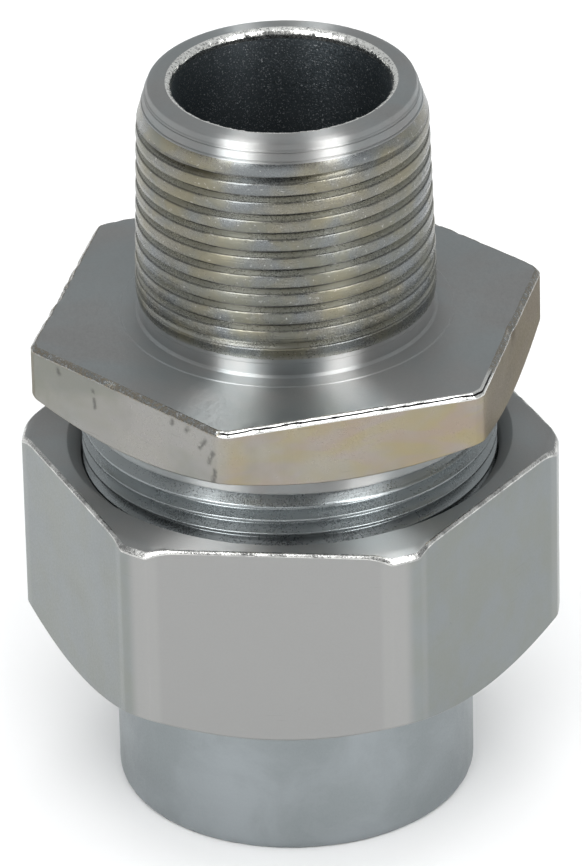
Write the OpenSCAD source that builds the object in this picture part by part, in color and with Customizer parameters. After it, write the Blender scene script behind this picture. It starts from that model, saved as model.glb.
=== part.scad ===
// Three-piece pipe union: a male half with a taper pipe thread and a wrench flange, a loose
// union nut, and a plain round female half. Millimetres. Z is the pipe axis, pointing up, and
// the origin is the centre of the female half's bottom face. The union is drawn made up tight.

/* [Through bore] */
// Diameter of the wire way through both halves
bore_d = 19.7; // [18:0.1:20.4]

/* [Male pipe thread, 3/4-14 taper] */
// Diameter over the crests at the small end
pipe_d = 26.03; // [25.9:0.01:26.1]
// Distance from the top face down to the wrench flange
pipe_stub_h = 23; // [22:0.5:27]
// Length of the threaded stretch, from the top face
pipe_thread_h = 21.4; // [17:0.1:21.6]

/* [Wrench flange] */
// Across the flats
flange_af = 41.8; // [41:0.1:43]
// Across the turned corners
flange_corner_d = 47.7; // [46.5:0.1:47.8]
// Thickness
flange_h = 6.9; // [6:0.1:7.4]

/* [Union thread, 1 1/2-18] */
// Diameter over the crests of the male half's straight thread
union_d = 37.84; // [37.8:0.01:37.9]
// Height of the plain shoulder between the flange and the thread
shoulder_h = 1.9; // [1.5:0.1:2.4]

/* [Union nut] */
// Across the flats
nut_af = 43.75; // [43.6:0.05:45]
// Across the turned corners
nut_corner_d = 49; // [48.4:0.1:50]
// Height
nut_h = 20.1; // [19.8:0.1:20.6]
// Height of its lower face above the ground
nut_z = 14.5; // [13:0.1:14.6]
// Diameter of its mouth, above the thread
nut_mouth_d = 40.6; // [39.6:0.1:41]

/* [Female half] */
// Outside diameter of the hub
hub_d = 32.8; // [32.4:0.1:33]
// Diameter of the collar that the nut pulls on
collar_d = 35.8; // [35.4:0.1:35.9]
// Tap drill diameter of the 3/4-14 taper pipe hole
tap_d = 23.4; // [23.2:0.1:23.8]
// Depth of the pipe hole
tap_depth = 16.5; // [14:0.5:17]

/* [Hidden] */
$fn = 96;
inch = 25.4;

// Both threads are 60 degree forms.
pipe_pitch = inch / 14;
pipe_depth = 0.8 * pipe_pitch;
pipe_taper = 1 / 32;
union_pitch = inch / 18;
union_depth = 0.65 * union_pitch;
union_crest_r = union_d / 2;
union_root_r = union_crest_r - union_depth;
// Radial room between the two union threads, crest to root.
thread_play = 0.13;
// How much thinner than half the pitch each union thread is, for free turning.
thread_slack = 0.2;

// Heights, from the ground up.
bore_r = bore_d / 2;
lip_h = 4;
lip_top = nut_z + lip_h;
seat_gap = 0.1;
collar_z = lip_top + seat_gap;
collar_top = collar_z + 3.9;
throat_top = collar_top - 2.7;
nose_z = throat_top + seat_gap;
sleeve_z = collar_top + 0.4;
nut_top = nut_z + nut_h;
total_h = 70.8;
flange_top = total_h - pipe_stub_h;
flange_z = flange_top - flange_h;
shoulder_z = flange_z - shoulder_h;

// Seat: a 35 degree cone on the male half's nose and in the female half.
seat_r_out = 14.8;
seat_r_in = 10.9;

// Hex chamfers: heights gained per millimetre outwards, and where the flat face ends.
flange_slope = 0.48;
flange_face_r = flange_af / 2 - 0.6;
nut_slope = 0.634;
nut_face_r = nut_af / 2 - 1.1;

// Both hexagons have a corner at their own angle, measured from +X.
flange_turn = 21.06;
nut_turn = 0;

// Facets of the helical ridges, per turn, and how many degrees their ends take to rise.
ridge_steps = 24;
ridge_fade = 90;
// How far a ridge's foot is sunk into the body it stands on.
ridge_sunk = 0.2;

// Points of one ring of a ridge. side is 1 for an outside thread and -1 for an inside one.
function ridge_ring(turned, z, foot_r, crest_r, foot_w, crest_w, side) = [
    for (corner = [[foot_r, -foot_w], [crest_r, -crest_w], [crest_r, crest_w], [foot_r, foot_w]])
        [corner[0] * cos(turned), corner[0] * sin(turned), z + side * corner[1] / 2]
];

// A right-hand helical ridge from the height z_low, at +X, up to z_high. Its foot is at foot_r and
// its crest at crest_r, both measured at z_ref, and both shrink by taper per millimetre above it.
module ridge(z_low, z_high, pitch, foot_r, crest_r, foot_w, crest_w, taper = 0, z_ref = 0) {
    side = crest_r > foot_r ? 1 : -1;
    total = 360 * (z_high - z_low) / pitch;
    rings = ceil(total * ridge_steps / 360);
    points = [
        for (i = [0 : rings])
            let (turned = total * i / rings)
            let (z = z_low + pitch * turned / 360)
            let (rise = max(0.05, min(1, turned / ridge_fade, (total - turned) / ridge_fade)))
            let (shrink = taper * (z_ref - z))
            each ridge_ring(turned, z, foot_r + shrink, foot_r + shrink + (crest_r - foot_r) * rise,
                foot_w, crest_w, side)
    ];
    sides = [
        for (i = [0 : rings - 1])
            for (k = [0 : 3])
                let (a = 4 * i + k)
                let (b = 4 * i + (k + 1) % 4)
                each [[a, b, b + 4], [a, b + 4, a + 4]]
    ];
    last = 4 * rings;
    ends = [[0, 3, 2], [0, 2, 1], [last, last + 1, last + 2], [last, last + 2, last + 3]];
    polyhedron(points, concat(sides, ends));
}

// A hexagonal block with turned corners, chamfered underneath.
module wrench_block(af, corner_d, z_low, z_high, face_r, slope, turn) {
    intersection() {
        translate([0, 0, z_low])
            rotate([0, 0, turn])
                cylinder(h = z_high - z_low, r = af / 2 / cos(30), $fn = 6);
        rotate_extrude()
            polygon([
                [0, z_low], [face_r, z_low], [corner_d / 2, z_low + (corner_d / 2 - face_r) * slope],
                [corner_d / 2, z_high], [0, z_high]
            ]);
    }
}

// The round female half: hub, collar, seat and pipe hole.
module female_half() {
    hub_r = hub_d / 2;
    collar_r = collar_d / 2;
    tap_r = tap_d / 2;
    edge = 0.6;
    mouth = 1.6;
    color("#98a2a4")
        rotate_extrude()
            polygon([
                [tap_r + mouth, 0], [hub_r - edge, 0], [hub_r, edge], [hub_r, collar_z],
                [collar_r, collar_z], [collar_r, collar_top - edge], [collar_r - edge, collar_top],
                [seat_r_out, collar_top], [seat_r_in, throat_top], [bore_r, throat_top],
                [bore_r, tap_depth + 0.5], [tap_r - 0.9, tap_depth], [tap_r, tap_depth - 0.9],
                [tap_r, mouth]
            ]);
}

// The loose hexagonal nut, with an inward lip under the collar.
module union_nut() {
    lip_r = hub_d / 2 + 0.2;
    major_r = union_crest_r + thread_play;
    minor_r = union_root_r + thread_play + 0.16;
    mouth_r = nut_mouth_d / 2;
    mouth_z = nut_top - (mouth_r - major_r);
    foot_w = 0.875 * union_pitch - thread_slack;
    color("#9aa3a2")
        union() {
            difference() {
                wrench_block(nut_af, nut_corner_d, nut_z, nut_top, nut_face_r, nut_slope, nut_turn);
                rotate_extrude()
                    polygon([
                        [0, nut_z - 1], [lip_r + 0.5, nut_z - 1], [lip_r + 0.5, nut_z],
                        [lip_r, nut_z + 0.5], [lip_r, lip_top], [major_r, lip_top],
                        [major_r, mouth_z], [mouth_r, nut_top], [mouth_r, nut_top + 1],
                        [0, nut_top + 1]
                    ]);
            }
            ridge(z_low = thread_z(-0.5), z_high = thread_z(8.3), pitch = union_pitch,
                foot_r = major_r + ridge_sunk, crest_r = minor_r,
                foot_w = foot_w, crest_w = 0.2 * union_pitch);
        }
}

// Height at +X of the union thread, counted in pitches. The male half's ridge takes whole numbers
// and the nut's ridge lies half a pitch between them.
function thread_z(turns) = sleeve_z - 1.8 + turns * union_pitch;

// The male half: taper pipe thread, wrench flange, union thread, nose and through bore.
module male_half() {
    top_r = 11.93;
    pipe_r = pipe_d / 2;
    band_z = total_h - 1.5;
    root_r = pipe_r - pipe_depth;
    thread_end = total_h - pipe_thread_h;
    vanish_z = thread_end + 1.2;
    neck_r = 13.4;
    shoulder_r = union_crest_r + 0.03;
    color("#a3a69f")
        union() {
            rotate_extrude()
                polygon([
                    [bore_r, nose_z], [seat_r_in - 0.1, nose_z], [seat_r_out - 0.1, sleeve_z],
                    [union_root_r - 0.2, sleeve_z], [union_root_r, sleeve_z + 0.4],
                    [union_root_r, shoulder_z - 0.4], [shoulder_r, shoulder_z], [shoulder_r, flange_z],
                    [neck_r, flange_z], [neck_r, thread_end - 0.4],
                    [root_r + (total_h - vanish_z) * pipe_taper, vanish_z],
                    [root_r + 2.1 * pipe_taper, total_h - 2.1], [pipe_r - 0.15, band_z - 0.2],
                    [pipe_r - 0.15, band_z], [top_r, total_h], [bore_r + 0.45, total_h],
                    [bore_r, total_h - 0.45]
                ]);
            difference() {
                wrench_block(flange_af, flange_corner_d, flange_z, flange_top, flange_face_r,
                    flange_slope, flange_turn);
                translate([0, 0, flange_z - 1])
                    cylinder(h = flange_h + 2, r = bore_r + 1);
            }
            ridge(z_low = thread_end, z_high = band_z - 0.5, pitch = pipe_pitch,
                foot_r = root_r - ridge_sunk, crest_r = pipe_r,
                foot_w = pipe_pitch * 0.97, crest_w = pipe_pitch * 0.12, taper = pipe_taper,
                z_ref = total_h);
            ridge(z_low = thread_z(2), z_high = thread_z(12), pitch = union_pitch,
                foot_r = union_root_r - ridge_sunk, crest_r = union_crest_r,
                foot_w = 0.875 * union_pitch - thread_slack, crest_w = 0.125 * union_pitch);
        }
}

female_half();
union_nut();
male_half();
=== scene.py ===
"""A three-piece pipe union in zinc plated steel, made up tight, on a pale studio floor."""
import math

import bpy
import numpy as np
from mathutils import Matrix, Vector

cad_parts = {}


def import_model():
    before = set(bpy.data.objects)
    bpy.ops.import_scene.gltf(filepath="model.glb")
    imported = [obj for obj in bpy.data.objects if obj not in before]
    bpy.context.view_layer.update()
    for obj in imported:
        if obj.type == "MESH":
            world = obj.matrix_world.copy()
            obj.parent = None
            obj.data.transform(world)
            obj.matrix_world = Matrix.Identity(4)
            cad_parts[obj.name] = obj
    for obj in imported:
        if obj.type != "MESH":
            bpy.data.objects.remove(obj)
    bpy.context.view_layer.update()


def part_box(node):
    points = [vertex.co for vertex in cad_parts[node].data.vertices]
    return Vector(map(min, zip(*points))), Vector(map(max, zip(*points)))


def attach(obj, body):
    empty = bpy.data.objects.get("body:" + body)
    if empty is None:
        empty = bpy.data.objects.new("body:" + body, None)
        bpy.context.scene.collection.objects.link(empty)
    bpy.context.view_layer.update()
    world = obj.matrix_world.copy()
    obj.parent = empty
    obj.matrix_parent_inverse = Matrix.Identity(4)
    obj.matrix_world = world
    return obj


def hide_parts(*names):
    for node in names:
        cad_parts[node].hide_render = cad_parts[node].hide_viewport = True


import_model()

MM = 0.001
INCH = 25.4

# Heights and sizes in millimetres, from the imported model.
female_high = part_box("female_half")[1] / MM
nut_low, nut_high = (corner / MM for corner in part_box("union_nut"))
male_low, male_high = (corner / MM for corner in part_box("male_half"))
TOP_Z = male_high.z
NOSE_Z = male_low.z
NUT_Z = nut_low.z
NUT_TOP = nut_high.z
COLLAR_TOP = female_high.z
COLLAR_R = female_high.x
NUT_CORNER_R = nut_high.x

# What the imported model's boxes don't give, in millimetres, with turns in degrees. A strip is how
# far a corner's turned part reaches either side, in degrees, and a blend is how softly it meets
# the flats. The nut's and the flange's slopes are height over radius, and the chamfer's is radius
# over height.
BORE_R = 9.85
HUB_R = 16.4
NUT_FLAT = 21.875
NUT_FACE_R = NUT_FLAT - 1.1
NUT_SLOPE = 0.634
NUT_MOUTH_R = 20.3
NUT_TURN = 0.0
NUT_STRIP = 3.23
NUT_BLEND = 0.16
LIP_R = HUB_R + 0.2
LIP_TOP = NUT_Z + 4
COLLAR_Z = LIP_TOP + 0.1
FLANGE_FLAT = 20.9
FLANGE_CORNER_R = 23.85
FLANGE_SLOPE = 0.48
FLANGE_TURN = 21.06
FLANGE_STRIP = 1.25
FLANGE_BLEND = 0.12
FLANGE_TOP = TOP_Z - 23.0
FLANGE_Z = FLANGE_TOP - 6.9
SHOULDER_Z = FLANGE_Z - 1.9
SLEEVE_Z = COLLAR_TOP + 0.4
THROAT_TOP = COLLAR_TOP - 2.7
SEAT_R_OUT = 14.8
SEAT_R_IN = 10.9
NECK_R = 13.42
TOP_R = 11.93
CHAMFER_SLOPE = 0.34

# Points in the 30 degrees from a hexagon's corner to the middle of its flat, and round the hub.
COLUMNS_PER_HALF = 27
HUB_COLUMNS = 288

# Threads: radii in millimetres and the height of one crest's middle at +X. FIRST and TURNS are
# where a thread's rows start and end, in pitches from its first groove, and the start is 0 for a
# thread that has no FIRST.
UNION_PITCH = INCH / 18
UNION_DEPTH = 0.65 * UNION_PITCH
UNION_CREST_R = 18.92
UNION_ROOT_R = UNION_CREST_R - UNION_DEPTH
UNION_CREST_Z = SLEEVE_Z - 1.8
UNION_TURNS = 9.6
NUT_TURNS = 8.3
NUT_MAJOR_R = UNION_CREST_R + 0.13
NUT_MINOR_R = UNION_ROOT_R + 0.29
PIPE_PITCH = INCH / 14
PIPE_DEPTH = 0.66
PIPE_TAPER = 1 / 32
PIPE_R = 13.015
PIPE_CREST_Z = 50.68
PIPE_FIRST = -0.35
PIPE_TURNS = 9.2
TAP_R = 11.7
TAP_DEPTH = 16.5
TAP_GROOVE_Z = 1.6
TAP_FIRST = -0.1
TAP_TURNS = 6.0
TAP_THREAD_DEPTH = 1.42

# The regions of a piece that have a finish of their own; the numbers are material slots.
TURNED, FLATS, THREADS, EDGE, BORE = 0, 1, 2, 3, 4

# Thread forms over one pitch, from the middle of the groove upwards: height in pitches, and how
# far below the crest in units of the thread's depth. A negative depth stands proud of the crest.
SHARP_FORM = [(0.0, 1.0), (0.09, 0.985), (0.41, 0.05), (0.44, 0.0), (0.56, 0.0), (0.59, 0.05),
              (0.91, 0.985)]
FLAT_FORM = [(0.0, 1.0), (0.025, 0.97), (0.192, 0.10), (0.212, 0.04), (0.46, -0.025), (0.5, 0.02),
             (0.54, -0.025), (0.735, 0.03), (0.775, 0.07), (0.808, 0.16), (0.975, 0.97)]

BACK = math.pi / 2
ALL_ROUND = 2 * math.pi


def ramp(x, low, high):
    """0 below low, 1 above high, smooth between."""
    t = np.clip((x - low) / (high - low), 0, 1)
    return t * t * (3 - 2 * t)


def wobble(rng, angles, waves, amount):
    """A smooth closed random line round the axis."""
    out = np.zeros_like(angles)
    for w in waves:
        out += rng.normal() * np.cos(w * angles + rng.uniform(0, 2 * math.pi))
    return out * amount / math.sqrt(len(waves))


def even_angles(count):
    """Angles once round, starting at the back, where a thread's seam is."""
    return BACK + np.arange(count) * 2 * math.pi / count


def hexagon_angles(turn, strip, per_half):
    """Angles once round from the back, closer together at the edges of each corner's strip.

    A corner lies at turn degrees and its turned strip reaches strip degrees either side.
    """
    near = [0.0, 0.5, 0.85, 0.95, 1.0, 1.05, 1.15, 1.4]
    rest = np.linspace(1.4 * strip, 30, per_half - len(near) + 1)[1:]
    half = np.concatenate([strip * np.array(near), rest])
    sector = np.concatenate([half, 60 - half[::-1][1:-1]])
    full = np.concatenate([sector + 60 * k + turn for k in range(6)])
    return np.sort(np.radians((full - 90) % 360)) + BACK


def hexagon(angles, turn, flat, corner_r, blend):
    """Radius of a hexagon with turned corners, blended over blend where strip and flat meet."""
    off = (angles - math.radians(turn)) % (math.pi / 3) - math.pi / 6
    straight = flat / np.cos(off)
    h = np.clip(0.5 + 0.5 * (corner_r - straight) / blend, 0, 1)
    return corner_r * (1 - h) + straight * h - blend * h * (1 - h)


# A row whose radius varies by less than this, in millimetres, has its normals found as a
# circle's are.
ROUND_WITHIN = 0.35


class Turned:
    """A closed body built in rows round the Z axis, each a circle or one pass of a helix.

    The rows follow the body's outline once round: up the outside, in over the top, down the
    hole and out under the bottom. The last row joins the first.
    """

    def __init__(self, angles):
        self.angles = angles
        self.count = len(angles)
        self.rows = []
        self.tags = []
        self.faces = []
        self.open_end = None
        self.helices = []

    def full(self, value):
        """One value, or one for each angle, as an array over the angles."""
        return np.broadcast_to(value, self.count).astype(float)

    def add(self, r, z, tag):
        """Keeps one row and returns its number."""
        self.rows.append((self.full(r), self.full(z)))
        self.tags.append(tag)
        return len(self.rows) - 1

    def strip(self, a, b, columns):
        """Faces between rows a and b, which follow each other on the outline."""
        n = self.count
        return [(a * n + c, a * n + (c + 1) % n, b * n + (c + 1) % n, b * n + c) for c in columns]

    def ring(self, r, z, tag):
        """A closed circle, joined to whatever came before it."""
        row = self.add(r, z, tag)
        if self.open_end is not None:
            self.close_helix(row)
        elif row:
            self.faces += self.strip(row - 1, row, range(self.count))
        self.open_end = None

    def path(self, corners, tag, steps=3):
        """Rings along corners (r, z, rounding), each corner rounded over that distance."""
        points = [(self.full(r), self.full(z), rounding) for r, z, rounding in corners]
        for i, (r, z, rounding) in enumerate(points):
            if rounding <= 0 or i in (0, len(points) - 1):
                self.ring(r, z, tag)
                continue
            ends = []
            for other in (points[i - 1], points[i + 1]):
                length = np.maximum(np.hypot(other[0] - r, other[1] - z), 1e-6)
                reach = np.minimum(rounding, 0.45 * length) / length
                ends.append((r + (other[0] - r) * reach, z + (other[1] - z) * reach))
            for t in np.linspace(0, 1, steps + 1):
                w0, w1, w2 = (1 - t) ** 2, 2 * t * (1 - t), t * t
                self.ring(w0 * ends[0][0] + w1 * r + w2 * ends[1][0],
                          w0 * ends[0][1] + w1 * z + w2 * ends[1][1], tag)

    def helix(self, rows, per_turn, climbing, tag):
        """Rows of a right-hand helix, lowest first, each joined to the one a turn above it.

        climbing is False inside a hole, where the outline goes down and takes them from the top.
        """
        n = self.count
        first = len(self.rows)
        before = first - 1
        for r, z in rows:
            self.add(r, z, tag)
        last = len(self.rows) - 1
        self.helices.append((first, last, per_turn, climbing))
        made = []
        for j in range(first, last):
            made += self.strip(j, j + 1, range(n - 1))
            above = j + per_turn
            if above < last:
                made.append((j * n + n - 1, above * n, above * n + n, j * n + 2 * n - 1))
        low_edge = [k * n for k in range(first, first + per_turn + 1)] + [first * n + n - 1]
        top_edge = [k * n + n - 1 for k in range(last, last - per_turn - 1, -1)]
        if climbing:
            made += self.strip(before, first, range(n - 1))
            made.append(tuple([before * n + n - 1, before * n] + low_edge))
            self.open_end = (last, top_edge, True)
        else:
            made += self.strip(last, before, range(n - 1))
            made.append(tuple([last * n, before * n, before * n + n - 1] + top_edge))
            made = [face[::-1] for face in made]
            self.open_end = (first, low_edge, False)
        self.faces += made

    def close_helix(self, row):
        """Joins the open end of a helix to the circle that follows it."""
        n = self.count
        edge_row, edge, climbing = self.open_end
        if climbing:
            self.faces += self.strip(edge_row, row, range(n - 1))
            self.faces.append(tuple([edge_row * n, row * n, row * n + n - 1] + edge))
        else:
            made = self.strip(row, edge_row, range(n - 1))
            made.append(tuple([row * n + n - 1, row * n] + edge))
            self.faces += [face[::-1] for face in made]

    def normals(self, points):
        """Surface normals from the rows themselves, so that uneven spacing doesn't show."""
        n = self.count
        total = len(self.rows)
        grid = points.reshape(total, n, 3)
        before, after = np.roll(grid, 1, 1), np.roll(grid, -1, 1)
        below, above = np.arange(total) - 1, (np.arange(total) + 1) % total
        for first, last, per_turn, climbing in self.helices:
            rows = np.arange(first, last + 1)
            back, ahead = np.maximum(rows - per_turn, first), np.minimum(rows + per_turn, last)
            before[rows, 0] = np.where((rows - per_turn >= first)[:, None], grid[back, -1],
                                       2 * grid[rows, 0] - grid[rows, 1])
            after[rows, -1] = np.where((rows + per_turn <= last)[:, None], grid[ahead, 0],
                                       2 * grid[rows, -1] - grid[rows, -2])
            if not climbing:
                below[rows], above[rows] = rows + 1, rows - 1
                below[last], above[first] = first - 1, (last + 1) % total
                above[first - 1] = last
                below[(last + 1) % total] = first
        back, ahead = grid - before, after - grid
        back_length = np.linalg.norm(back, axis=2, keepdims=True) + 1e-9
        ahead_length = np.linalg.norm(ahead, axis=2, keepdims=True) + 1e-9
        radius = np.array([row[0] for row in self.rows])
        round_row = (np.ptp(radius, axis=1) < ROUND_WITHIN)[:, None, None]
        even = ahead / ahead_length * back_length + back / back_length * ahead_length
        along = np.where(round_row, even, back + ahead)
        up = grid[above] - grid[below]
        out = np.cross(along, up).reshape(-1, 3)
        return out / (np.linalg.norm(out, axis=1, keepdims=True) + 1e-12)

    def build(self, name, dents=()):
        """Closes the outline, presses the dents in and returns the Blender object."""
        self.faces += self.strip(len(self.rows) - 1, 0, range(self.count))
        r = np.array([row[0] for row in self.rows])
        z = np.array([row[1] for row in self.rows])
        points = np.stack([r * np.cos(self.angles), r * np.sin(self.angles), z], -1)
        points = points.reshape(-1, 3)
        for place, push, size in dents:
            away = np.sum((points - place) ** 2, axis=1) / size ** 2
            points = points + np.exp(-away)[:, None] * push
        mesh = bpy.data.meshes.new(name)
        mesh.from_pydata((points * MM).tolist(), [], self.faces)
        tags = np.repeat(self.tags, self.count)
        regions = [int(tags[list(face)].max()) for face in self.faces]
        mesh.polygons.foreach_set("material_index", regions)
        mesh.polygons.foreach_set("use_smooth", [True] * len(self.faces))
        mesh.update()
        mesh.normals_split_custom_set_from_vertices(self.normals(points).tolist())
        piece = bpy.data.objects.new(name, mesh)
        bpy.context.scene.collection.objects.link(piece)
        return piece


# Rows at least this near the crest are roughened, in units of the thread's depth.
NEAR_CREST = 0.3

# Where a thread's ridges or grooves fade, in turns from its first row and back from its last.
STEADY_FADES = ((0.0, 0.6), (0.6, 0.05))
PIPE_FADES = ((0.55, 0.95), (0.75, 0.40))


def thread(angles, form, pitch, depth, groove_z, low, high, crest, ends, rough=None,
           fades=STEADY_FADES):
    """Rows of a helical thread, lowest first, as (radius, height) arrays.

    groove_z is the middle of a groove at +X, and low and high count pitches from there to the
    block's first and last row. crest(z) is the crest radius, and depth is negative in a hole.
    ends says what the first and last turns fade into: "root", "crest", or "open" for no fade.
    fades says where they do, and rough holds random lines that roughen the rows near the crest.
    """
    rows = []
    theta = angles / (2 * math.pi)
    for turn in range(math.floor(low), math.ceil(high)):
        for k, (up, down) in enumerate(form):
            if not low <= turn + up <= high:
                continue
            along = turn + up + theta
            z = groove_z + pitch * along
            below = np.full_like(theta, down)
            first, last = low + theta[0], high + theta[-1]
            starting = 1 - ramp(along, first + fades[0][0], first + fades[0][1])
            ending = ramp(along, last - fades[1][0], last - fades[1][1])
            for fade, kind in ((starting, ends[0]), (ending, ends[1])):
                if kind == "root":
                    below = below + (1 - below) * fade
                elif kind == "crest":
                    below = below * (1 - fade)
            r = crest(z) - depth * below
            if rough is not None and down < NEAR_CREST:
                r = r - rough[(turn * len(form) + k) % len(rough)]
            rows.append((r, z))
    return rows


def straight(radius):
    """The crest of a straight thread, for thread(): the same radius at every height."""
    def crest(z):
        return radius
    return crest


def edge_dents(rng, count, radius, z, depth, size, lean):
    """Random small nicks along an edge round the axis.

    radius gives the edge's radius at an angle, and lean is how much each nick is pressed upwards
    for one inwards.
    """
    dents = []
    for _ in range(count):
        turn = rng.uniform(0, ALL_ROUND)
        r = radius(turn)
        scale = rng.uniform(0.4, 1.0)
        place = np.array([r * math.cos(turn), r * math.sin(turn), z + rng.normal() * 0.15])
        inward = np.array([-math.cos(turn), -math.sin(turn), lean]) * depth * scale
        dents.append((place, inward, size * rng.uniform(0.5, 1.2)))
    return dents


# ---------------------------------------------------------------- the three pieces

def flange_outline(angles):
    return hexagon(angles, FLANGE_TURN, FLANGE_FLAT, FLANGE_CORNER_R, FLANGE_BLEND)


def nut_outline(angles):
    return hexagon(angles, NUT_TURN, NUT_FLAT, NUT_CORNER_R, NUT_BLEND)


def make_male_half():
    """Taper pipe thread, neck, wrench flange, shoulder, union thread, nose and through bore."""
    rng = np.random.default_rng(7)
    angles = hexagon_angles(FLANGE_TURN, FLANGE_STRIP, COLUMNS_PER_HALF)
    body = Turned(angles)
    hexa = flange_outline(angles)
    face_r = FLANGE_FLAT - 0.6
    root_r = UNION_ROOT_R
    shoulder_r = UNION_CREST_R + 0.03
    body.path([
        (BORE_R, NOSE_Z + 1.5, 0), (BORE_R, NOSE_Z, 0.1), (SEAT_R_IN - 0.1, NOSE_Z, 0.15),
        (SEAT_R_OUT - 0.1, SLEEVE_Z, 0.15), (root_r - 0.5, SLEEVE_Z, 0.1),
        (root_r, SLEEVE_Z + 0.5, 0.1), (root_r, SLEEVE_Z + 0.62, 0)], TURNED, 2)

    fine = [wobble(rng, angles, range(20, 90, 7), 0.006) for _ in range(29)]
    body.helix(thread(angles, SHARP_FORM, UNION_PITCH, UNION_DEPTH,
                      UNION_CREST_Z + 1.5 * UNION_PITCH, 0, UNION_TURNS,
                      straight(UNION_CREST_R), ("root", "root"), fine),
               len(SHARP_FORM), True, THREADS)

    edge = 0.36 + wobble(rng, angles, range(20, 170, 9), 0.022)
    drop = 0.40 + wobble(rng, angles, range(20, 170, 9), 0.022)
    body.path([
        (root_r, SHOULDER_Z - 0.42, 0), (root_r, SHOULDER_Z - 0.3, 0.08),
        (shoulder_r - 0.14, SHOULDER_Z - 0.06, 0.05), (shoulder_r, SHOULDER_Z + 0.1, 0.08),
        (shoulder_r, FLANGE_Z, 0.12), (face_r, FLANGE_Z, 0.1)], TURNED, 2)
    body.path([
        (hexa - 0.4, FLANGE_Z + (hexa - 0.4 - face_r) * FLANGE_SLOPE, 0),
        (hexa, FLANGE_Z + (hexa - face_r) * FLANGE_SLOPE, 0.15),
        (hexa, FLANGE_Z + 3.2, 0), (hexa, FLANGE_Z + 4.6, 0), (hexa, FLANGE_TOP - 1.5, 0),
        (hexa, FLANGE_TOP - 0.54, 0)], FLATS, 3)
    body.path([
        (hexa, FLANGE_TOP - 0.52, 0), (hexa, FLANGE_TOP - drop, 0.08),
        (hexa - 0.5 * edge, FLANGE_TOP - 0.5 * drop, 0), (hexa - edge, FLANGE_TOP, 0.08),
        (hexa - 0.48, FLANGE_TOP, 0)], EDGE, 2)
    body.path([
        (hexa - 0.50, FLANGE_TOP, 0), (hexa - 0.75, FLANGE_TOP, 0), (hexa - 1.05, FLANGE_TOP, 0),
        (hexa - 1.4, FLANGE_TOP, 0), (0.75 * hexa + 3.4, FLANGE_TOP, 0),
        (0.45 * hexa + 9.0, FLANGE_TOP, 0), (0.15 * hexa + 13.4, FLANGE_TOP, 0),
        (15.3, FLANGE_TOP, 0), (15.14, FLANGE_TOP, 0.04),
        (15.05, FLANGE_TOP + 0.09, 0.04), (NECK_R + 0.24, FLANGE_TOP + 0.09, 0.05),
        (NECK_R + 0.12, FLANGE_TOP + 0.22, 0.06), (NECK_R, FLANGE_TOP + 0.32, 0.05),
        (NECK_R, FLANGE_TOP + 1.42, 0.04), (NECK_R + 0.06, FLANGE_TOP + 1.5, 0.04),
        (NECK_R + 0.06, FLANGE_TOP + 1.9, 0)], TURNED, 2)

    def pipe_crest(z):
        """The tapering crest, which fades down into the neck just above the flange."""
        full = PIPE_R + (TOP_Z - z) * PIPE_TAPER
        start = FLANGE_TOP + 1.8
        return NECK_R + 0.06 + (full - NECK_R - 0.06) * ramp(z, start, start + 1.4)

    def cut(z):
        """The long chamfer that takes the first crests off."""
        return TOP_R + 0.1 + (TOP_Z - 0.15 - z) * CHAMFER_SLOPE

    coarse = [wobble(rng, angles, range(25, 120, 8), 0.007) for _ in range(31)]
    rows = thread(angles, FLAT_FORM, PIPE_PITCH, PIPE_DEPTH, PIPE_CREST_Z - 0.5 * PIPE_PITCH,
                  PIPE_FIRST, PIPE_TURNS, pipe_crest, ("crest", "crest"), coarse, PIPE_FADES)
    rows = [(np.minimum(r, cut(z)), z) for r, z in rows]
    body.helix(rows, len(FLAT_FORM), True, THREADS)
    burr = wobble(rng, angles, range(11, 150, 6), 0.045)
    body.path([
        (cut(TOP_Z - 1.92), TOP_Z - 1.92, 0), (cut(TOP_Z - 1.82), TOP_Z - 1.82, 0.02),
        (cut(TOP_Z - 1.74) - 0.12, TOP_Z - 1.74, 0.02), (cut(TOP_Z - 1.64), TOP_Z - 1.64, 0.03),
        (cut(TOP_Z - 1.05), TOP_Z - 1.05, 0.03), (cut(TOP_Z - 0.98) - 0.09, TOP_Z - 0.98, 0.02),
        (cut(TOP_Z - 0.90) + 0.05, TOP_Z - 0.90, 0.03),
        (cut(TOP_Z - 0.80) + 0.03, TOP_Z - 0.80, 0.03),
        (cut(TOP_Z - 0.72) - 0.02, TOP_Z - 0.72, 0.03), (cut(TOP_Z - 0.2), TOP_Z - 0.2, 0.1),
        (TOP_R - 0.32, TOP_Z, 0.22), (TOP_R - 0.75, TOP_Z, 0), (BORE_R + 0.57, TOP_Z, 0)],
        TURNED, 3)
    body.path([
        (BORE_R + 0.55, TOP_Z, 0), (BORE_R + 0.38 + burr, TOP_Z - 0.01, 0.08),
        (BORE_R + 0.14 + burr, TOP_Z - 0.22, 0.08), (BORE_R + 0.02, TOP_Z - 0.50, 0.1),
        (BORE_R, TOP_Z - 0.9, 0)], EDGE, 3)
    for depth in (1.2, 3, 8, 15, 24, 35, 46):
        body.ring(BORE_R, TOP_Z - depth, BORE)

    def edge_r(turn):
        return float(flange_outline(np.array([turn]))[0]) - 0.3

    dents = edge_dents(rng, 110, edge_r, FLANGE_TOP - 0.25, depth=0.07, size=0.38, lean=-0.8)
    dents += edge_dents(rng, 26, edge_r, FLANGE_TOP - 0.3, depth=0.16, size=0.6, lean=-0.7)
    return body.build("male_half_metal", dents)


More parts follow.
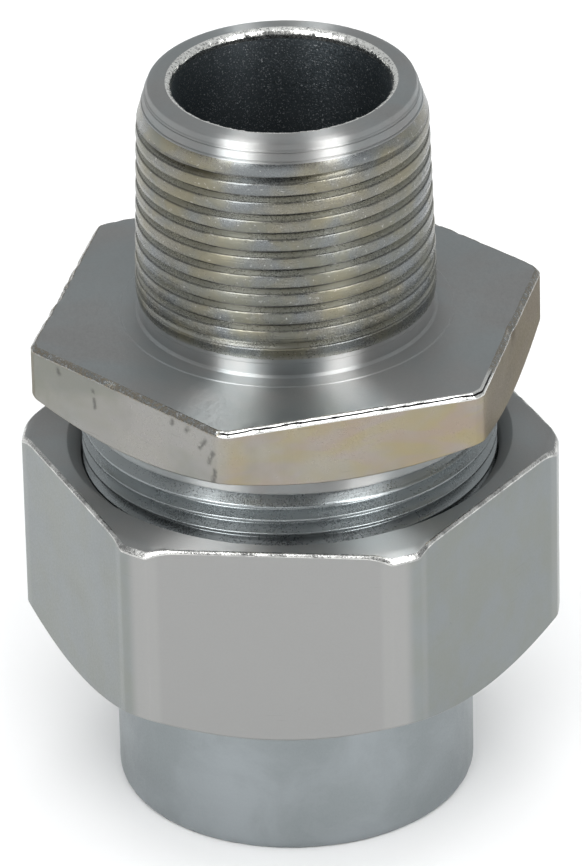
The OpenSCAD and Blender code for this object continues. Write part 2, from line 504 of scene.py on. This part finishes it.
def make_union_nut():
    """The loose hexagonal nut: chamfered below, with a lip, an inside thread and a mouth."""
    rng = np.random.default_rng(11)
    angles = hexagon_angles(NUT_TURN, NUT_STRIP, COLUMNS_PER_HALF)
    body = Turned(angles)
    hexa = nut_outline(angles)

    def low_z(r):
        """The chamfer round the bottom face."""
        return NUT_Z + (r - NUT_FACE_R) * NUT_SLOPE

    def top_z(r):
        """The top face drops away a little where the corners are turned."""
        return NUT_TOP - 0.55 * np.maximum(r - 23.4, 0) ** 2

    body.path([
        (LIP_R, NUT_Z + 0.8, 0), (LIP_R, NUT_Z + 0.5, 0.06), (LIP_R + 0.5, NUT_Z, 0.1),
        (NUT_FACE_R - 1.2, NUT_Z, 0), (NUT_FACE_R - 0.2, NUT_Z, 0.2)], TURNED, 2)
    body.path([
        (NUT_FACE_R + 0.25, low_z(NUT_FACE_R + 0.25), 0), (hexa - 0.35, low_z(hexa - 0.35), 0),
        (hexa, low_z(hexa), 0.16), (hexa, NUT_Z + 4.2, 0), (hexa, NUT_Z + 9, 0),
        (hexa, NUT_Z + 14, 0), (hexa, NUT_TOP - 2.2, 0), (hexa, NUT_TOP - 1.3, 0),
        (hexa, top_z(hexa) - 0.32, 0)], FLATS, 3)
    body.path([
        (hexa, top_z(hexa) - 0.30, 0), (hexa, top_z(hexa) - 0.17, 0.08),
        (hexa - 0.17, top_z(hexa - 0.17), 0.08), (hexa - 0.30, top_z(hexa - 0.30), 0)], EDGE, 3)
    body.path([
        (hexa - 0.32, top_z(hexa - 0.32), 0), (hexa - 0.7, top_z(hexa - 0.7), 0),
        (hexa - 1.1, top_z(hexa - 1.1), 0), (0.3 * hexa + 14.1, NUT_TOP, 0), (20.55, NUT_TOP, 0),
        (NUT_MOUTH_R, NUT_TOP, 0.08), (NUT_MAJOR_R + 0.3, NUT_TOP - 1.0, 0),
        (NUT_MAJOR_R, NUT_TOP - 1.28, 0)], TURNED, 2)
    body.helix(thread(angles, SHARP_FORM, UNION_PITCH, NUT_MINOR_R - NUT_MAJOR_R,
                      UNION_CREST_Z - UNION_PITCH, 0, NUT_TURNS, straight(NUT_MINOR_R),
                      ("root", "root")), len(SHARP_FORM), False, THREADS)
    body.path([
        (NUT_MAJOR_R, LIP_TOP + 0.5, 0), (NUT_MAJOR_R, LIP_TOP, 0.2),
        (LIP_R + 0.6, LIP_TOP, 0), (LIP_R, LIP_TOP, 0.1), (LIP_R, LIP_TOP - 1.5, 0)], TURNED, 2)

    def edge_r(turn):
        return float(nut_outline(np.array([turn]))[0]) - 0.05

    dents = edge_dents(rng, 150, edge_r, NUT_TOP - 0.05, depth=0.05, size=0.35, lean=-0.8)
    return body.build("union_nut_metal", dents)


def make_female_half():
    """The round hub with its collar, seat and taper pipe hole."""
    rng = np.random.default_rng(19)
    angles = even_angles(HUB_COLUMNS)
    body = Turned(angles)
    mouth_r = TAP_R + 1.6
    body.path([
        (mouth_r - 0.6, 0.6, 0), (mouth_r, 0, 0.12), (HUB_R - 1.2, 0, 0), (HUB_R - 0.45, 0, 0.2),
        (HUB_R, 0.55, 0.45), (HUB_R, 2.0, 0), (HUB_R, 8, 0), (HUB_R, 14, 0),
        (HUB_R, COLLAR_Z - 0.4, 0), (HUB_R + 0.05, COLLAR_Z, 0.2), (COLLAR_R - 0.3, COLLAR_Z, 0),
        (COLLAR_R, COLLAR_Z + 0.2, 0.1), (COLLAR_R, COLLAR_TOP - 0.6, 0.1),
        (COLLAR_R - 0.6, COLLAR_TOP, 0.12), (SEAT_R_OUT, COLLAR_TOP, 0.1),
        (SEAT_R_IN, THROAT_TOP, 0.1), (BORE_R, THROAT_TOP, 0.1), (BORE_R, THROAT_TOP - 1, 0),
        (BORE_R, TAP_DEPTH + 0.5, 0.1), (TAP_R - 0.4, TAP_DEPTH - 0.1, 0.1),
        (TAP_R, TAP_DEPTH - 0.6, 0)], TURNED, 3)

    def crest_at_zero(z):
        """With the crest at zero, each row is how far down the groove it lies, from 0 to 1."""
        return 0 * z

    def thread_depth(z):
        """The crests are straight and the grooves taper, so the depth shrinks upwards."""
        return TAP_THREAD_DEPTH - z * PIPE_TAPER

    def entry(z):
        """The mouth's 45 degree chamfer."""
        return mouth_r - z

    rows = thread(angles, SHARP_FORM, PIPE_PITCH, -1.0, TAP_GROOVE_Z, TAP_FIRST, TAP_TURNS,
                  crest_at_zero, ("open", "crest"))
    rows = [(TAP_R + r * thread_depth(z), z) for r, z in rows]
    rows = [(np.maximum(r, entry(z)), z) for r, z in rows]
    body.helix(rows, len(SHARP_FORM), False, THREADS)
    body.ring(mouth_r - 0.9, 0.9, TURNED)

    def rim_r(turn):
        return HUB_R - 0.2

    dents = edge_dents(rng, 30, rim_r, 0.2, depth=0.05, size=0.5, lean=0.4)
    return body.build("female_half_metal", dents)


# ---------------------------------------------------------------- materials

class Graph:
    """A material's node tree, with short calls for the nodes that the finishes use."""

    def __init__(self, name):
        self.material = bpy.data.materials.new(name)
        self.material.use_nodes = True
        self.tree = self.material.node_tree
        self.shader = next(n for n in self.tree.nodes if n.type == "BSDF_PRINCIPLED")
        self.place = self.node("ShaderNodeTexCoord").outputs["Object"]
        x, y, z = self.split(self.place)
        self.x, self.y, self.z = x, y, z
        squares = self.math("ADD", self.math("MULTIPLY", x, x), self.math("MULTIPLY", y, y))
        self.r = self.math("SQRT", squares, 0)

    def node(self, kind, **settings):
        node = self.tree.nodes.new(kind)
        for key, value in settings.items():
            setattr(node, key, value)
        return node

    def feed(self, socket, value):
        """Links a socket, or sets it to a plain value."""
        if isinstance(value, bpy.types.NodeSocket):
            self.tree.links.new(value, socket)
        else:
            socket.default_value = value

    def math(self, operation, a, b, clamp=False):
        node = self.node("ShaderNodeMath", operation=operation, use_clamp=clamp)
        self.feed(node.inputs[0], a)
        self.feed(node.inputs[1], b)
        return node.outputs[0]

    def split(self, vector):
        node = self.node("ShaderNodeSeparateXYZ")
        self.feed(node.inputs[0], vector)
        return node.outputs

    def join(self, x, y, z):
        node = self.node("ShaderNodeCombineXYZ")
        for socket, value in zip(node.inputs, (x, y, z)):
            self.feed(socket, value)
        return node.outputs[0]

    def noise(self, vector, scale, detail=2.0, roughness=0.5, distortion=0.0):
        node = self.node("ShaderNodeTexNoise")
        self.feed(node.inputs["Vector"], vector)
        node.inputs["Scale"].default_value = scale
        node.inputs["Detail"].default_value = detail
        node.inputs["Roughness"].default_value = roughness
        node.inputs["Distortion"].default_value = distortion
        return node.outputs["Fac"]

    def band(self, value, low, high, out_low=0.0, out_high=1.0):
        """value from low..high mapped smoothly to out_low..out_high."""
        node = self.node("ShaderNodeMapRange", interpolation_type="SMOOTHSTEP")
        for socket, number in zip(node.inputs, (value, low, high, out_low, out_high)):
            self.feed(socket, number)
        return node.outputs[0]

    def mix(self, share, a, b):
        """Colour a to colour b."""
        node = self.node("ShaderNodeMix", data_type="RGBA")
        self.feed(node.inputs["Factor"], share)
        self.feed(node.inputs[6], a)
        self.feed(node.inputs[7], b)
        return node.outputs[2]

    def bump(self, height, distance, strength, normal=None):
        node = self.node("ShaderNodeBump")
        node.inputs["Strength"].default_value = strength
        node.inputs["Distance"].default_value = distance
        self.feed(node.inputs["Height"], height)
        if normal is not None:
            self.feed(node.inputs["Normal"], normal)
        return node.outputs[0]


def rgb(r, g, b):
    return (r, g, b, 1.0)


GREY = rgb(0.298, 0.298, 0.293)
BLUE = rgb(0.216, 0.233, 0.235)
GREEN = rgb(0.213, 0.226, 0.212)
TURNED_GREY = rgb(0.375, 0.375, 0.370)
TURNED_BLUE = rgb(0.345, 0.368, 0.372)
OLIVE = rgb(0.180, 0.180, 0.148)
SLATE = rgb(0.172, 0.183, 0.187)
THREAD_BLUE = rgb(0.310, 0.334, 0.342)
BORE_BLUE = rgb(0.150, 0.178, 0.195)
BORE_DARK = rgb(0.120, 0.140, 0.152)
BROWN = rgb(0.240, 0.215, 0.175)
TAN = rgb(0.305, 0.250, 0.132)
PINK = rgb(0.302, 0.237, 0.180)
HUB_BLUE = rgb(0.298, 0.323, 0.337)
HUB_DARK = rgb(0.265, 0.290, 0.298)
# Dark for real pits, scuffs, scratches and dirt. Also painted shade on the flange's far right and
# in the pipe thread's roots, and a painted dark reflection along its crest edges.
SOOT_AND_SHADE = rgb(0.10, 0.10, 0.095)
# Bare bright metal on worn edges, and one end of the nut edges' tint. Also a painted highlight on
# the nut's corner strips and the flange's right-hand bevel, and painted glints on the pipe thread.
SHINY_WEAR_AND_HIGHLIGHT = rgb(0.62, 0.62, 0.60)
# Painted sheen on the pipe thread's flanks.
FLANK_SHEEN_CREAM = rgb(0.46, 0.46, 0.42)
# Painted dark reflection along the flange's right-hand bevel.
DARK_REFLECTION_BLACK = rgb(0.010, 0.010, 0.010)
# Painted highlight on the burr round the bore.
BURR_HIGHLIGHT_WHITE = rgb(0.80, 0.80, 0.77)
# Painted glints in the bore.
SPECK_GLINT_WHITE = rgb(0.80, 0.83, 0.85)
FLOOR_WHITE = rgb(0.86, 0.86, 0.86)
FLOOR_WHITER = rgb(0.88, 0.88, 0.88)
SKY_WHITE = rgb(0.97, 0.99, 1.0)
NO_TINT = rgb(1.0, 1.0, 1.0)
WARM_GRAZING = rgb(0.60, 0.56, 0.50)


# Scales of the finishes' noise, in cells a metre.
GRAIN_SCALE = 5200.0
SPOT_SCALE = 1500.0
BURR_SCALE = 2600.0
SCUFF_SCALE = 3800.0
STREAK_SCALE = 420.0


def plating(name, colours, tint_scale=110.0, roughness=0.35, anisotropy=0.0, lines="turned",
            line_step=0.00025, line_depth=0.00002, pits=0.1, burr=0.0, marks=None,
            grazing=NO_TINT):
    """Bright zinc plate: clouds of tint, fine specks, tool lines and a satin shine.

    colours are the ends of the tint. lines says how the tool lines run, "turned" round the axis
    or "milled" up the flats. burr roughens the surface, marks is a function that adds to the
    colour and height, and grazing tints what is reflected at a shallow angle.
    """
    g = Graph(name)
    clouds = g.noise(g.place, tint_scale, 4.0, 0.6, 0.4)
    colour = g.mix(g.band(clouds, 0.36, 0.64), colours[0], colours[1])
    grain = g.noise(g.place, GRAIN_SCALE, 3.0, 0.7)
    spots = g.noise(g.place, SPOT_SCALE, 4.0, 0.75)
    colour = g.mix(g.band(spots, 0.62, 0.74, 0.0, pits), colour, SOOT_AND_SHADE)
    if lines == "turned":
        drift = g.math("MULTIPLY", g.math("ADD", g.x, g.math("MULTIPLY", g.y, 0.7)), 0.03)
        way = g.join(g.r, g.z, drift)
    else:
        around = g.math("MULTIPLY", g.math("ARCTAN2", g.y, g.x), 0.022)
        way = g.join(around, g.math("MULTIPLY", g.z, 0.05), g.math("MULTIPLY", g.r, 0.2))
    cuts = g.noise(way, 1.0 / line_step, 3.0, 0.65)
    height = g.math("ADD", cuts, g.math("MULTIPLY", grain, 0.18))
    if marks is not None:
        colour, height = marks(g, colour, height)
    shine = g.math("ADD", g.band(grain, 0.3, 0.7, roughness - 0.04, roughness + 0.06),
                   g.band(clouds, 0.3, 0.7, -0.03, 0.04))
    normal = g.bump(height, line_depth, 0.6)
    if burr:
        normal = g.bump(g.noise(g.place, BURR_SCALE, 3.0, 0.7), burr, 1.0, normal)
    shader = g.shader
    g.feed(shader.inputs["Base Color"], colour)
    g.feed(shader.inputs["Roughness"], shine)
    g.feed(shader.inputs["Normal"], normal)
    shader.inputs["Metallic"].default_value = 1.0
    shader.inputs["Specular Tint"].default_value = grazing
    if anisotropy:
        tangent = g.node("ShaderNodeTangent", direction_type="RADIAL", axis="Z")
        g.feed(shader.inputs["Tangent"], tangent.outputs[0])
        shader.inputs["Anisotropic"].default_value = anisotropy
        shader.inputs["Anisotropic Rotation"].default_value = 0.25
    return g.material


def scratch(g, u, v, start, end, width):
    """1 on a straight scratch from start to end in the coordinates u and v, 0 off it."""
    length = math.hypot(end[0] - start[0], end[1] - start[1])
    way = ((end[0] - start[0]) / length, (end[1] - start[1]) / length)
    du, dv = g.math("SUBTRACT", u, start[0]), g.math("SUBTRACT", v, start[1])
    along = g.math("ADD", g.math("MULTIPLY", du, way[0]), g.math("MULTIPLY", dv, way[1]))
    off = g.math("SUBTRACT", g.math("MULTIPLY", du, way[1]), g.math("MULTIPLY", dv, way[0]))
    over = g.math("ABSOLUTE", g.math("SUBTRACT", along, length / 2), 0)
    inside = g.band(over, length / 2 - width, length / 2, 1.0, 0.0)
    return g.math("MULTIPLY", inside, g.band(g.math("ABSOLUTE", off, 0), 0, width, 1.0, 0.0))


def handling(g, colour, height, amount):
    """Faint random scuffs along a flat."""
    stretched = g.join(g.math("MULTIPLY", g.x, 0.05), g.math("MULTIPLY", g.y, 0.05), g.z)
    lines = g.band(g.noise(stretched, SCUFF_SCALE, 2.0), 0.66, 0.72, 0.0, amount)
    where = g.band(g.noise(g.place, 260.0, 2.0), 0.5, 0.62)
    scuffs = g.math("MULTIPLY", lines, where)
    return g.mix(scuffs, colour, SOOT_AND_SHADE), g.math("SUBTRACT", height, scuffs)


# Scratches on the flange's left front flat, most of them near the front corner: start and end,
# in millimetres along the flat from its middle and up from its top edge.
CORNER_SCRATCHES = [((10.4, -1.0), (9.2, -2.6)), ((11.2, -1.9), (10.2, -3.9)),
                    ((8.3, -0.6), (7.4, -1.6)), ((11.3, -3.6), (10.9, -5.6)),
                    ((6.3, -0.5), (5.7, -1.5)), ((-4.0, -1.2), (-3.7, -3.6)),
                    ((-8.6, -0.7), (-8.0, -1.7))]
SCRATCH_WIDTH = 0.00040


def flange_marks_and_shade(g, colour, height):
    """Yellow and pink passivation, strong on the right-hand flats and faint on the left.

    The far right edge is darkened as painted shade, and the left front flat is scratched.
    """
    turn = math.radians(FLANGE_TURN - 120 - 30)
    u = g.math("ADD", g.math("MULTIPLY", g.x, -math.sin(turn)),
               g.math("MULTIPLY", g.y, math.cos(turn)))
    v = g.math("SUBTRACT", g.z, FLANGE_TOP * MM)
    bands = g.join(g.math("MULTIPLY", g.x, 0.35), g.math("MULTIPLY", g.y, 0.35), g.z)
    streaks = g.noise(bands, STREAK_SCALE, 3.0, 0.6, 0.6)
    tint = g.mix(g.band(streaks, 0.42, 0.6), TAN, PINK)
    right = g.band(g.x, -0.0052, -0.0025, 0.12, 0.85)
    cloud = g.band(g.noise(g.place, 120.0, 3.0, 0.6), 0.25, 0.6, 0.35, 1.0)
    colour = g.mix(g.math("MULTIPLY", right, cloud), colour, tint)
    # Painted shade: the far right of the flange is darkened.
    far_right_shade = g.band(g.x, 0.0186, 0.0192, 0.0, 0.80)
    colour = g.mix(far_right_shade, colour, SOOT_AND_SHADE)
    colour, height = handling(g, colour, height, 0.25)
    front = g.band(g.x, -0.0040, -0.0036, 1.0, 0.0)
    jitter = g.math("SUBTRACT", g.noise(g.place, 1300.0, 3.0, 0.7), 0.5)
    u = g.math("ADD", u, g.math("MULTIPLY", jitter, 0.0007))
    broken = g.band(g.noise(g.place, 1700.0, 2.0), 0.30, 0.50)
    for start, end in CORNER_SCRATCHES:
        line = scratch(g, u, v, (start[0] * MM, start[1] * MM), (end[0] * MM, end[1] * MM),
                       SCRATCH_WIDTH)
        line = g.math("MULTIPLY", g.math("MULTIPLY", line, front), broken)
        colour = g.mix(g.math("MULTIPLY", line, 0.75), colour, SOOT_AND_SHADE)
        height = g.math("SUBTRACT", height, g.math("MULTIPLY", line, 4.0))
    return colour, height


def nut_marks_and_shading(g, colour, height):
    """The front and back flats are neutral; the others are mottled and made a little darker as
    painted shade.

    The corners' turned strips are made a touch brighter as a painted highlight.
    """
    # Painted shade: the four side flats are darker. Their blue and green mottle is tint.
    side = g.band(g.math("ABSOLUTE", g.x, 0), 0.0120, 0.0130)
    mottle = g.band(g.noise(g.place, 210.0, 4.0, 0.65), 0.35, 0.65)
    colour = g.mix(side, colour, g.mix(mottle, BLUE, GREEN))
    # Painted highlight: the corners' turned strips are made a touch brighter.
    strip = g.band(g.r, 0.02395, 0.0242, 0.0, 0.07)
    colour = g.mix(strip, colour, SHINY_WEAR_AND_HIGHLIGHT)
    return handling(g, colour, height, 0.10)


def thread_tints_and_shading(g, colour, height):
    """Olive and tan patches on the pipe thread, with a painted pale sheen on the flanks, fine
    painted glints, a painted dark reflection along the crest edges and painted shade in the roots.

    The union thread below the flange is a clean pale blue.
    """
    pipe = g.band(g.z, (FLANGE_TOP - 2) * MM, (FLANGE_TOP + 2) * MM)
    patch = g.band(g.noise(g.place, 150.0, 3.0, 0.6), 0.42, 0.66, 0.0, 0.28)
    colour = g.mix(patch, colour, TAN)
    # Painted glints: fine bright specks.
    bright = g.band(g.noise(g.place, 3000.0, 2.0, 0.7), 0.64, 0.72, 0.0, 0.45)
    colour = g.mix(bright, colour, SHINY_WEAR_AND_HIGHLIGHT)
    crest = g.math("SUBTRACT", (PIPE_R + TOP_Z * PIPE_TAPER) * MM,
                   g.math("MULTIPLY", g.z, PIPE_TAPER))
    below = g.math("SUBTRACT", crest, g.r)
    # Painted sheen: the flanks are made a pale cream.
    flank = g.math("MULTIPLY", g.band(below, 0.00010, 0.00018),
                   g.band(below, 0.00054, 0.00062, 1.0, 0.0))
    uncut = g.band(g.z, (TOP_Z - 4.4) * MM, (TOP_Z - 3.2) * MM, 0.5, 0.0)
    colour = g.mix(g.math("MULTIPLY", flank, uncut), colour, FLANK_SHEEN_CREAM)
    # Painted dark reflection: a dark line along the crest edges, above the run-out.
    off_edge = g.math("ABSOLUTE", g.math("SUBTRACT", below, 0.00008), 0)
    run_out = g.band(g.z, (FLANGE_TOP + 2.6) * MM, (FLANGE_TOP + 3.4) * MM, 0.0, 0.75)
    run_out = g.math("MULTIPLY", run_out, g.band(g.noise(g.place, 900.0, 3.0), 0.3, 0.6, 0.2, 1.0))
    line = g.math("MULTIPLY", g.band(off_edge, 0.00002, 0.00006, 1.0, 0.0), run_out)
    colour = g.mix(line, colour, SOOT_AND_SHADE)
    # Painted shade in the thread's roots.
    colour = g.mix(g.band(below, 0.00056, 0.00063, 0.0, 0.9), colour, SOOT_AND_SHADE)
    height = g.math("MULTIPLY", height, g.band(pipe, 0.0, 1.0, 0.25, 1.0))
    height = g.math("MULTIPLY", height, g.band(flank, 0.0, 1.0, 1.0, 0.3))
    return g.mix(pipe, THREAD_BLUE, colour), height


def worn(g, colour, height):
    """Worn, bright and dirty by turns, as on an edge that has been knocked."""
    cloud = g.noise(g.place, 3200.0, 4.0, 0.7)
    colour = g.mix(g.band(cloud, 0.52, 0.66, 0.0, 0.5), colour, SHINY_WEAR_AND_HIGHLIGHT)
    return g.mix(g.band(cloud, 0.34, 0.44, 0.45, 0.0), colour, SOOT_AND_SHADE), height


def male_wear_and_highlights(g, colour, height):
    """The flange's edge is brown and worn left of the front corner; to its right it carries a
    painted highlight instead.

    There a painted dark reflection runs along the bevel's middle. The burr round the bore is
    painted bright in patches, as a painted highlight.
    """
    # Right of the front corner the bevel gets a painted highlight, not wear.
    clean = g.math("MULTIPLY", g.band(g.x, -0.0042, -0.0036), g.band(g.y, -0.012, -0.010, 1.0, 0.0))
    cloud = g.noise(g.place, 3600.0, 4.0, 0.7)
    brown = g.mix(g.band(cloud, 0.42, 0.60), BROWN, colour)
    brown = g.mix(g.band(cloud, 0.60, 0.68, 0.0, 0.8), brown, SHINY_WEAR_AND_HIGHLIGHT)
    # Painted dark reflection: a black line along the bevel's middle, between painted highlights.
    middle = g.math("ABSOLUTE", g.math("SUBTRACT", g.z, (FLANGE_TOP - 0.21) * MM), 0)
    line = g.band(middle, 0.00005, 0.00009, 1.0, 0.0)
    bright = g.mix(line, SHINY_WEAR_AND_HIGHLIGHT, DARK_REFLECTION_BLACK)
    flange = g.mix(clean, brown, bright)
    # Painted highlight: the burr round the bore is made bright in patches.
    rim = g.band(cloud, 0.36, 0.50, 0.0, 1.0)
    rim = g.mix(rim, GREY, BURR_HIGHLIGHT_WHITE)
    high = g.band(g.z, (TOP_Z - 5) * MM, (TOP_Z - 4) * MM)
    return g.mix(high, flange, rim), height


def bore_glints(g, colour, height):
    """Fine painted glints, as bright specks, in a dull bore."""
    # Painted glints: near-white specks.
    specks = g.band(g.noise(g.place, 6500.0, 2.0, 0.7), 0.57, 0.70, 0.0, 0.9)
    return g.mix(specks, colour, SPECK_GLINT_WHITE), height


def finishes(kind):
    """The materials of one piece, in the order of its regions.

    The hub has no flats, and hub_flats only keeps that slot filled.
    """
    if kind == "male":
        return [
            plating("male_turned", (TURNED_BLUE, TURNED_GREY), tint_scale=110.0,
                    roughness=0.38, anisotropy=1.0, pits=0.04),
            plating("male_flats", (GREY, GREEN), tint_scale=80.0, roughness=0.32,
                    lines="milled", line_depth=1e-5, marks=flange_marks_and_shade, grazing=WARM_GRAZING),
            plating("male_threads", (SLATE, OLIVE), tint_scale=200.0, roughness=0.28,
                    anisotropy=0.7, pits=0.15, line_step=0.00013, line_depth=5e-5,
                    marks=thread_tints_and_shading),
            plating("male_edges", (GREY, BLUE), tint_scale=300.0, roughness=0.24,
                    burr=0.00002, marks=male_wear_and_highlights),
            plating("male_bore", (BORE_BLUE, BORE_DARK), tint_scale=160.0, roughness=0.40,
                    anisotropy=0.3, burr=0.00003, pits=0.3, marks=bore_glints)]
    if kind == "nut":
        return [
            plating("nut_turned", (TURNED_BLUE, TURNED_GREY), tint_scale=110.0,
                    roughness=0.42, anisotropy=1.0, pits=0.04),
            plating("nut_flats", (GREY, GREY), tint_scale=60.0, roughness=0.34,
                    lines="milled", line_depth=6e-6, pits=0.03, marks=nut_marks_and_shading),
            plating("nut_threads", (THREAD_BLUE, BLUE), tint_scale=160.0, roughness=0.30,
                    anisotropy=0.7),
            plating("nut_edges", (GREY, SHINY_WEAR_AND_HIGHLIGHT), tint_scale=500.0, roughness=0.24,
                    burr=0.00003, marks=worn)]
    return [
        plating("hub_turned", (HUB_BLUE, HUB_DARK), tint_scale=130.0, roughness=0.42,
                anisotropy=0.3, line_depth=8e-6, pits=0.04),
        plating("hub_flats", (HUB_BLUE, HUB_DARK), tint_scale=130.0, roughness=0.42,
                anisotropy=0.3, line_depth=8e-6, pits=0.04),
        plating("hub_threads", (BLUE, GREY), tint_scale=160.0, roughness=0.36, anisotropy=0.8)]


# ---------------------------------------------------------------- studio

def floor():
    """A wide matt floor, just under the object so that the two don't touch."""
    mesh = bpy.data.meshes.new("floor")
    side = 4.0
    low = -0.02 * MM
    mesh.from_pydata([(-side, -side, low), (side, -side, low), (side, side, low),
                      (-side, side, low)], [], [(0, 1, 2, 3)])
    board = bpy.data.objects.new("floor", mesh)
    bpy.context.scene.collection.objects.link(board)
    g = Graph("floor_white")
    tone = g.noise(g.place, 6.0, 2.0)
    g.feed(g.shader.inputs["Base Color"], g.mix(tone, FLOOR_WHITE, FLOOR_WHITER))
    g.shader.inputs["Roughness"].default_value = 0.9
    g.shader.inputs["Specular IOR Level"].default_value = 0.0
    mesh.materials.append(g.material)


def softbox(name, azimuth, elevation, distance, width, height, radiance, shiny=True):
    """A rectangular light aimed at the middle of the object, in degrees and metres.

    Azimuth 0 is the camera's side. A shiny one shows only in reflections, and any other one
    only lights matt surfaces.
    """
    light = bpy.data.lights.new(name, "AREA")
    light.shape = "RECTANGLE"
    light.size = width
    light.size_y = height
    light.energy = radiance * math.pi * width * height
    lamp = bpy.data.objects.new(name, light)
    bpy.context.scene.collection.objects.link(lamp)
    turn, rise = math.radians(azimuth) + CAMERA_TURN, math.radians(elevation)
    way = Vector((math.sin(turn) * math.cos(rise), -math.cos(turn) * math.cos(rise),
                  math.sin(rise)))
    target = Vector((0, 0, TOP_Z / 2 * MM))
    lamp.location = target + way * distance
    lamp.rotation_euler = way.to_track_quat("Z", "Y").to_euler()
    lamp.visible_camera = False
    lamp.visible_glossy = shiny
    lamp.visible_diffuse = not shiny


# The sky's level against the direction's Y and Z: from, to, and the level at each.
SKY_BACKWARDS = (-0.85, 0.1, 0.15, 0.60)
SKY_OVERHEAD = (0.6, 1.0, 0.0, 0.26)


def sky_level(tree, direction, numbers):
    node = tree.nodes.new("ShaderNodeMapRange")
    node.interpolation_type = "SMOOTHSTEP"
    tree.links.new(direction, node.inputs[0])
    for socket, number in zip(list(node.inputs)[1:5], numbers):
        socket.default_value = number
    return node.outputs[0]


def world():
    """Light from all round, darkest behind the camera and a little stronger overhead."""
    sky = bpy.data.worlds.new("studio")
    bpy.context.scene.world = sky
    sky.use_nodes = True
    tree = sky.node_tree
    place = tree.nodes.new("ShaderNodeTexCoord")
    parts = tree.nodes.new("ShaderNodeSeparateXYZ")
    tree.links.new(place.outputs["Generated"], parts.inputs[0])
    total = tree.nodes.new("ShaderNodeMath")
    tree.links.new(sky_level(tree, parts.outputs["Y"], SKY_BACKWARDS), total.inputs[0])
    tree.links.new(sky_level(tree, parts.outputs["Z"], SKY_OVERHEAD), total.inputs[1])
    tree.links.new(total.outputs[0], tree.nodes["Background"].inputs["Strength"])
    tree.nodes["Background"].inputs["Color"].default_value = SKY_WHITE


# The camera, as fitted to the photo: metres from the axis and above the floor, and the lens in
# millimetres for a sensor 36 wide.
SENSOR_WIDTH = 36.0
CAMERA_TURN = math.radians(5.63)
CAMERA_DISTANCE = 0.70217
CAMERA_HEIGHT = 0.43244
CAMERA_PITCH = math.radians(29.536)
CAMERA_YAW = math.radians(0.01)
CAMERA_ROLL = math.radians(-1.308)
CAMERA_LENS = 368.34


def camera():
    data = bpy.data.cameras.new("camera")
    data.sensor_width = SENSOR_WIDTH
    data.lens = CAMERA_LENS
    data.clip_start = 0.01
    data.clip_end = 20.0
    eye = bpy.data.objects.new("camera", data)
    bpy.context.scene.collection.objects.link(eye)
    forward = Vector((math.sin(CAMERA_YAW) * math.cos(CAMERA_PITCH),
                      math.cos(CAMERA_YAW) * math.cos(CAMERA_PITCH), -math.sin(CAMERA_PITCH)))
    right = Vector((math.cos(CAMERA_YAW), -math.sin(CAMERA_YAW), 0))
    up = right.cross(forward)
    rolled = right * math.cos(CAMERA_ROLL) + up * math.sin(CAMERA_ROLL)
    over = up * math.cos(CAMERA_ROLL) - right * math.sin(CAMERA_ROLL)
    axes = Matrix((rolled, over, -forward)).transposed().to_4x4()
    place = Matrix.Translation(Vector((0, -CAMERA_DISTANCE, CAMERA_HEIGHT)))
    eye.matrix_world = Matrix.Rotation(CAMERA_TURN, 4, "Z") @ place @ axes
    bpy.context.scene.camera = eye


PIECES = [
    ("female_half", "hub_zinc", make_female_half, "hub"),
    ("union_nut", "nut_zinc", make_union_nut, "nut"),
    ("male_half", "male_zinc", make_male_half, "male")]

for node, material_slot, make, kind in PIECES:
    piece = make()
    for material in finishes(kind):
        piece.data.materials.append(material)
    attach(piece, node)
    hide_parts(node)

floor()
camera()
world()
softbox("left_softbox", azimuth=-39, elevation=32, distance=1.3, width=0.60, height=1.30,
        radiance=6.8)
softbox("right_softbox", azimuth=41, elevation=32, distance=1.3, width=0.48, height=1.30,
        radiance=6.8)
softbox("top_wash", azimuth=0, elevation=88, distance=1.6, width=2.2, height=2.2,
        radiance=1.2, shiny=False)
softbox("front_wash", azimuth=0, elevation=38, distance=1.6, width=1.8, height=1.0,
        radiance=4.3, shiny=False)

view = bpy.context.scene.view_settings
view.view_transform = "Standard"
view.look = "None"
view.exposure = 0.0
